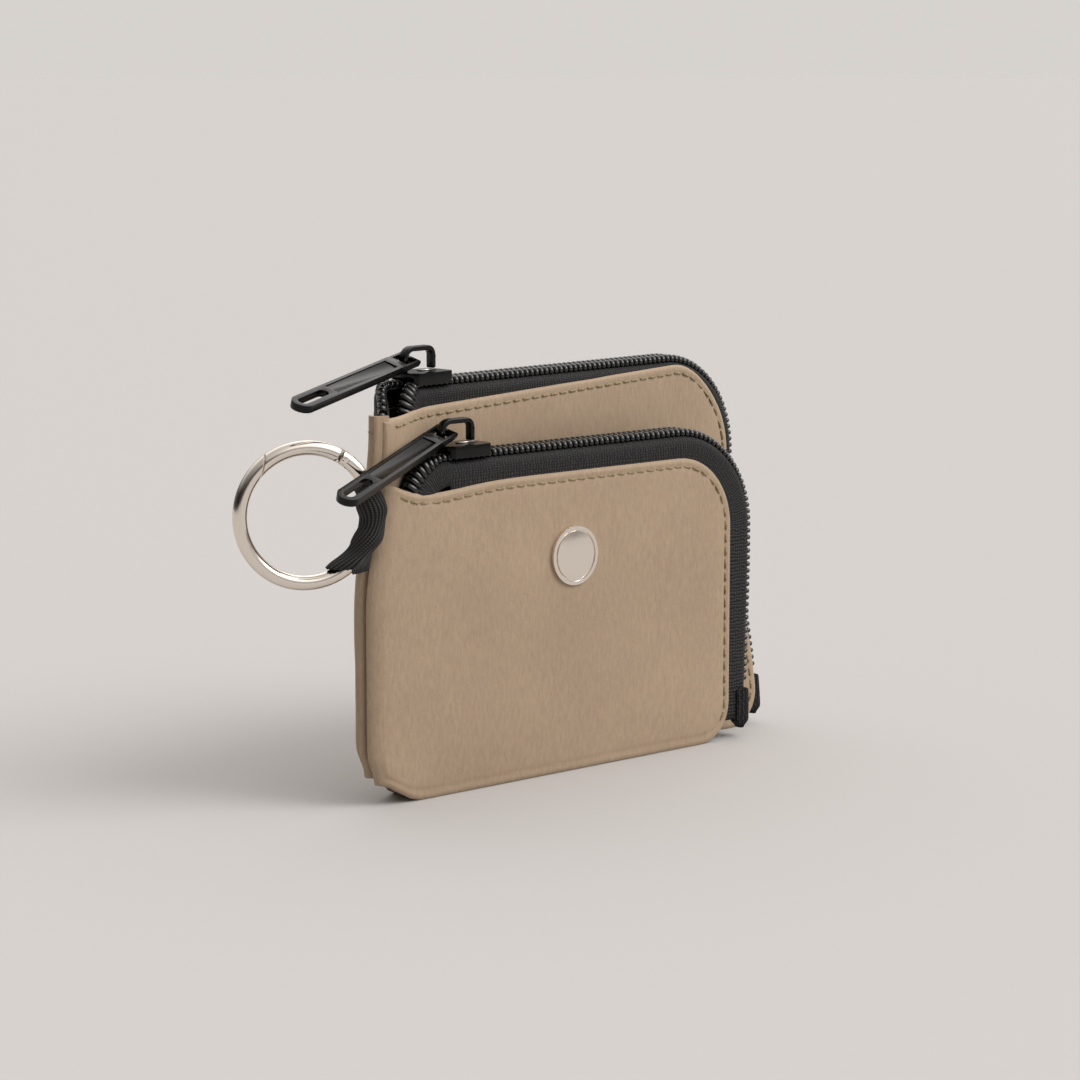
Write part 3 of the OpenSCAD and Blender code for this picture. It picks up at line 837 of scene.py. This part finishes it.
def joined(name, copies):
    bpy.ops.object.select_all(action="DESELECT")
    for copy in copies:
        copy.select_set(True)
    bpy.context.view_layer.objects.active = copies[0]
    bpy.ops.object.join()
    whole = bpy.context.object
    whole.name = name
    return whole


def add_coil(name, side, node):
    """A row of loops along its zip, the far row half a pitch behind the near one"""
    loop = one_loop()
    shape = zips[name]
    row = shape["front" if side < 0 else "back"]
    s = row["start"] + 0.8 + (coil_pitch / 2 if side > 0 else 0)
    end = zip_length(name, side) - 0.5
    loops = []
    while s < end:
        apart = smooth(1, 7, -s) if s < 0 else 0
        place, turn = on_zip(name, side, s, 1.15 - 0.2 * apart, side * (1.62 + 0.9 * apart))
        turned = Matrix.Translation(place) @ Matrix.Rotation(-turn, 4, "Y")
        stretch = Matrix.Scale(1 + 0.3 * apart, 4, (0, 1, 0))
        tip = Matrix.Rotation(side * -apart * radians(62), 4, "X") @ stretch
        flip = Matrix.Scale(-side, 4, (0, 1, 0))
        copy = placed_copy(loop, turned @ tip @ flip)
        if side > 0:
            copy.data.flip_normals()
        loops.append(copy)
        s += coil_pitch
    bpy.data.objects.remove(loop)
    coil = joined(node + "_loops", loops)
    set_down(coil, shape["place"])
    dress(coil, coil_nylon, "zip_coil", "pouch", node)


for zip_name in ("main", "pocket"):
    add_coil(zip_name, -1, zip_name + "_coil_front")
    add_coil(zip_name, 1, zip_name + "_coil_back")

# ---------------------------------------------------------------------------
# End tabs: a short length of ribbed tape folded over the foot of each chain,
# its lower corners cut to a point.


tab_top, tab_length, tab_round = 11.6, 9.4, 8


def tab_shape(name):
    shape = zips[name]

    def place(across, along):
        """Down the tab, and once round it: an oblong with ribs, closed to a point below"""
        z = tab_top - tab_length * along
        turn = 2 * pi * across
        rib = 0.16 * abs(sin(12 * turn))
        close = 1 - 0.75 * smooth(0.8, 1, along) - 0.5 * (1 - smooth(0, 0.05, along))
        deep, wide = 2.0 * close + rib, 1.25 * (1 - 0.4 * smooth(0.8, 1, along)) + rib
        corner = (abs(cos(turn)) ** 4 + abs(sin(turn)) ** 4) ** -0.25
        x = shape["right"] - (4.3 if name == "pocket" else 2.4) + deep * cos(turn) * corner * 0.95
        y = -2.6 + wide * sin(turn) * corner * 1.1
        lean = side_shift(name, -1, shape["right"], z)
        if name == "pocket":
            lean -= foot_draw(z)
        return Vector((x, y + lean, z))
    return place


def add_tab(name, node):
    tab = strip(node + "_ribbed", 96, 24, tab_shape(name))
    map_in_mm(tab, tab_round, tab_length)
    take_up(tab)
    bpy.ops.object.mode_set(mode="EDIT")
    bpy.ops.mesh.select_all(action="SELECT")
    bpy.ops.mesh.remove_doubles(threshold=0.001)
    bpy.ops.mesh.select_all(action="DESELECT")
    bpy.ops.mesh.select_non_manifold()
    bpy.ops.mesh.fill_holes(sides=0)
    bpy.ops.mesh.select_all(action="SELECT")
    bpy.ops.mesh.normals_make_consistent(inside=False)
    bpy.ops.object.mode_set(mode="OBJECT")
    bpy.ops.object.shade_smooth_by_angle(angle=radians(50))
    set_down(tab, zips[name]["place"])
    dress(tab, tape_weave, "zip_tape", "pouch", node)


for zip_name in ("main", "pocket"):
    add_tab(zip_name, zip_name + "_end_tab")

# ---------------------------------------------------------------------------
# Topstitching: khaki polyester thread, two-ply, one stitch at a time with its
# ends sunk in the cloth.

thread = plain_material("khaki_thread", (0.29, 0.225, 0.12), 0.6)
thread_shader = thread.node_tree.nodes["Principled BSDF"]
thread_place = thread.node_tree.nodes.new("ShaderNodeTexCoord")
thread_plies = add_node(
    thread.node_tree, "ShaderNodeTexWave", {"bands_direction": "DIAGONAL"}, Scale=500.0)
thread_bump = add_node(thread.node_tree, "ShaderNodeBump", Strength=0.6, Distance=0.00015)
thread.node_tree.links.new(thread_place.outputs["Object"], thread_plies.inputs["Vector"])
thread.node_tree.links.new(thread_plies.outputs["Fac"], thread_bump.inputs["Height"])
thread.node_tree.links.new(thread_bump.outputs["Normal"], thread_shader.inputs["Normal"])


def one_stitch():
    """A stitch along x, 2.5 mm long, thick in the middle and thin where it enters the cloth"""
    bpy.ops.object.select_all(action="DESELECT")
    bpy.ops.mesh.primitive_cylinder_add(vertices=8, radius=0.28, depth=2.5, rotation=(0, pi / 2, 0))
    stitch = bpy.context.object
    bpy.ops.object.transform_apply(location=False, rotation=True, scale=False)
    bpy.ops.object.mode_set(mode="EDIT")
    for x in (-0.95, -0.5, 0.5, 0.95):
        bpy.ops.mesh.select_all(action="SELECT")
        bpy.ops.mesh.bisect(plane_co=(x, 0, 0), plane_no=(1, 0, 0))
    for end in (-1, 1):
        pick(stitch, lambda co: co.x * end > 1.1)
        bpy.ops.transform.resize(value=(1, 0.45, 0.45), center_override=(0, 0, 0))
        bpy.ops.transform.translate(value=(0, 0.3, 0))
        pick(stitch, lambda co: 0.9 < co.x * end < 1.0)
        bpy.ops.transform.translate(value=(0, 0.06, 0))
    bpy.ops.object.mode_set(mode="OBJECT")
    bpy.ops.object.shade_smooth()
    return stitch


def outline_run(right, top, corner, step=0.25):
    """Points on the stitching line of a panel, a fine step apart, from the left end to the foot"""
    points = []
    x = 4.5
    while x < right - corner:
        points.append((x, top - stitch_inset))
        x += step
    radius = corner - stitch_inset
    turn = 0
    while turn < pi / 2:
        points.append((right - corner + radius * sin(turn), top - corner + radius * cos(turn)))
        turn += step / radius
    up = top - corner
    while up > foot_corner:
        points.append((right - stitch_inset, up))
        up -= step
    turn = 0
    foot_radius = foot_corner - stitch_inset
    while turn < radians(50):
        points.append((
            right - foot_corner + foot_radius * cos(turn), foot_corner - foot_radius * sin(turn)))
        turn += step / foot_radius
    return points


def sew(name, points, cloth, place, front, *nodes, size=1.0):
    """Lays one stitch at each pitch along the points, on the cloth's surface"""
    stitch = one_stitch()
    stitch.data.transform(Matrix.Scale(size, 4))
    pitch = stitch_pitch * size
    proud = Vector((0, -0.17 if front else 0.17, 0))
    laid = []
    run = [cloth(x, up) for x, up in points]
    gone = pitch * 0.6
    for here, after in zip(run, run[1:]):
        gone += (after - here).length
        if gone < pitch:
            continue
        gone -= pitch
        along = (after - here).normalized()
        out = along.cross(Vector((0, 1, 0))).normalized()
        deep = out.cross(along).normalized() * (1 if front else -1)
        turned = Matrix((along, deep, along.cross(deep))).transposed().to_4x4()
        laid.append(placed_copy(stitch, Matrix.Translation(here + proud) @ turned))
    bpy.data.objects.remove(stitch)
    row = joined(name, laid)
    set_down(row, place)
    dress(row, thread, "khaki_thread", "pouch", *nodes)


sew("pocket_stitching", outline_run(pocket_right, pocket_edge, pocket_corner), pocket_cloth,
    pocket_place, True, "pocket_topstitch")
sew("main_stitching", outline_run(main_right, main_edge, main_corner), main_front_cloth,
    main_place, True, "main_topstitch")
sew("main_back_stitching", outline_run(main_right, main_edge, main_corner), main_back_cloth,
    main_place, False)


def hem_line(share, _):
    return gusset_shape(share, 0.96) + Vector((-0.1, 0.17, 0))


sew("gusset_hem", [(i / 60, 0) for i in range(17, 56)], hem_line, main_place, True, "gusset_hem_stitch",
    size=0.45)

# ---------------------------------------------------------------------------
# Sliders and pulls: die-cast zinc, black enamel, satin. The body, the crown
# riveted on it, the lock spring and the pull are separate castings.

enamel = plain_material("black_enamel", (0.0018, 0.0018, 0.002), 0.3)
enamel.node_tree.nodes["Principled BSDF"].inputs["Specular IOR Level"].default_value = 0.24
grain(enamel, 700.0, 3.0, gloss=(0.17, 0.3), bump=(0.12, 0.1))


def finish_casting(node, finish, edge):
    """Rounds a metal piece's edges by a modifier and gives it its finish"""
    casting = frame["nodes"][node]
    casting.data.materials.clear()
    casting.data.materials.append(finish)
    weld = casting.modifiers.new("weld", "WELD")
    weld.merge_threshold = 0.000002
    if edge:
        rounding = casting.modifiers.new("rounding", "BEVEL")
        rounding.width = edge * MM
        rounding.segments = 3
        rounding.limit_method = "ANGLE"
        rounding.angle_limit = radians(32)
        rounding.use_clamp_overlap = True
    take_up(casting)
    bpy.ops.object.shade_smooth_by_angle(angle=radians(32))


for zip_name in ("main", "pocket"):
    finish_casting(zip_name + "_slider_body", enamel, 0.22)
    finish_casting(zip_name + "_slider_crown", enamel, 0.3)
    finish_casting(zip_name + "_pull", enamel, 0.24)

spring_steel = plain_material("spring_steel", (0.55, 0.54, 0.52), 0.3)
spring_steel.node_tree.nodes["Principled BSDF"].inputs["Metallic"].default_value = 1
grain(spring_steel, 1200.0, 2.0, gloss=(0.22, 0.4))
for node in ("main_lock_spring", "pocket_lock_spring", "ring_gate_spring"):
    finish_casting(node, spring_steel, 0)

# ---------------------------------------------------------------------------
# Ring and badge: brass under pale polished nickel. The gate turns on a rivet
# in the ring's fork; the badge is a stamped disc with a raised rim.

nickel = plain_material("polished_nickel", (0.8, 0.73, 0.655), 0.14)
nickel.node_tree.nodes["Principled BSDF"].inputs["Metallic"].default_value = 1
grain(nickel, 420.0, 4.0, gloss=(0.09, 0.22), bump=(0.05, 0.1))
for node, edge in (("ring_body", 0.12), ("ring_gate", 0.12), ("ring_hinge_pin", 0.25),
                   ("badge_face", 0.3), ("badge_backing", 0.1)):
    finish_casting(node, nickel, edge)

# ---------------------------------------------------------------------------
# Strap: a black ribbed grosgrain tab, folded round the ring's wire with both
# ends sewn into the side seam. The ribs run round with the wire.

to_pocket = pocket_place.inverted()
ring_centre = to_pocket @ Vector(joint("ring_turn")["pos_m"])
hinge_line = to_pocket @ Vector(joint("ring_swing")["pos_m"])
out_of_ring = hinge_line - ring_centre
wire_line_r = out_of_ring.length
out_of_ring.normalize()
wrap_r = 2.3
strap_half_t = 0.45
strap_w = 22
strap_from, strap_to = radians(-53), radians(26)
strap_seam_x = 2.4


def strap_shape(along, across):
    """Along the wire and once round it, from the seam in front, over the wire and back to the seam"""
    turn = strap_from + (strap_to - strap_from) * along
    crumple = 0.3 + 0.5 * noise.noise(Vector((along * 6, across * 2.5, 3.3))) + 0.2 * sin(along * 19)
    crumple = max(crumple, 0)
    wire = ring_centre + out_of_ring * wire_line_r * cos(turn) + Vector((0, 0, wire_line_r * sin(turn)))
    seam = Vector((strap_seam_x - 2.6 * (1 - smooth(44, 66, wire.z)), hinge_line.y + 0.9,
                   wire.z + 1.2 * sin(turn)))
    to_seam = Vector((seam.x - wire.x, seam.y - wire.y, 0))
    reach = max(to_seam.length, 0.5)
    to_seam.normalize()
    side = Vector((-to_seam.y, to_seam.x, 0))
    rib = 0.2 * abs(sin(pi * across * strap_w))
    if across < 0.25 or across > 0.75:
        share = across / 0.25 if across < 0.25 else (1 - across) / 0.25
        sign = -1 if across < 0.25 else 1
        half = strap_half_t + (wrap_r - strap_half_t) * smooth(0, 1, share)
        return seam - to_seam * reach * share + side * sign * -(half + rib + crumple * share)
    swing = (across - 0.25) / 0.5 * pi
    radius = wrap_r + rib + crumple
    return wire + side * radius * cos(swing) - to_seam * radius * sin(swing) / cos(turn)


def grosgrain():
    finish = plain_material("black_grosgrain", (0.014, 0.014, 0.015), 0.62)
    tree = finish.node_tree
    shader = tree.nodes["Principled BSDF"]
    shader.inputs["Specular IOR Level"].default_value = 0.3
    place = tree.nodes.new("ShaderNodeUVMap")
    cords = add_node(tree, "ShaderNodeTexWave", {"bands_direction": "Y"}, Scale=0.314, Distortion=0.4)
    picks = add_node(tree, "ShaderNodeTexWave", {"bands_direction": "X"}, Scale=0.7, Distortion=0.8)
    # The colour is painted lighter along the crests of the cords: painted sheen, sharpened by a power and
    # broken by the picks, over a near black base
    shine = add_node(tree, "ShaderNodeMath", {"operation": "POWER"})
    shine.inputs[1].default_value = 2.5
    painted_cord_sheen = add_node(tree, "ShaderNodeMath", {"operation": "MULTIPLY"})
    tree.links.new(place.outputs["UV"], cords.inputs["Vector"])
    shade = add_node(tree, "ShaderNodeMix", {"data_type": "RGBA"})
    shade.inputs["A"].default_value = (0.003, 0.003, 0.0032, 1)
    shade.inputs["B"].default_value = (0.06, 0.058, 0.056, 1)
    tree.links.new(place.outputs["UV"], picks.inputs["Vector"])
    tree.links.new(cords.outputs["Fac"], shine.inputs[0])
    tree.links.new(shine.outputs[0], painted_cord_sheen.inputs[0])
    tree.links.new(picks.outputs["Fac"], painted_cord_sheen.inputs[1])
    tree.links.new(painted_cord_sheen.outputs[0], shade.inputs["Factor"])
    tree.links.new(shade.outputs["Result"], shader.inputs["Base Color"])
    bump = add_node(tree, "ShaderNodeBump", Strength=0.7, Distance=0.0002)
    tree.links.new(cords.outputs["Fac"], bump.inputs["Height"])
    tree.links.new(bump.outputs["Normal"], shader.inputs["Normal"])
    return finish


strap = strip("seam_strap_grosgrain", 60, 156, strap_shape)
strap_length = wire_line_r * (strap_to - strap_from)
map_in_mm(strap, strap_length, strap_w)
thicken(strap, 0.5, 0, 0)
take_up(strap)
bpy.ops.object.mode_set(mode="EDIT")
bpy.ops.mesh.select_all(action="SELECT")
bpy.ops.mesh.normals_make_consistent(inside=False)
bpy.ops.object.mode_set(mode="OBJECT")
set_down(strap, pocket_place)
strap.data.materials.append(grosgrain())
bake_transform(strap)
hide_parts("strap_loop")
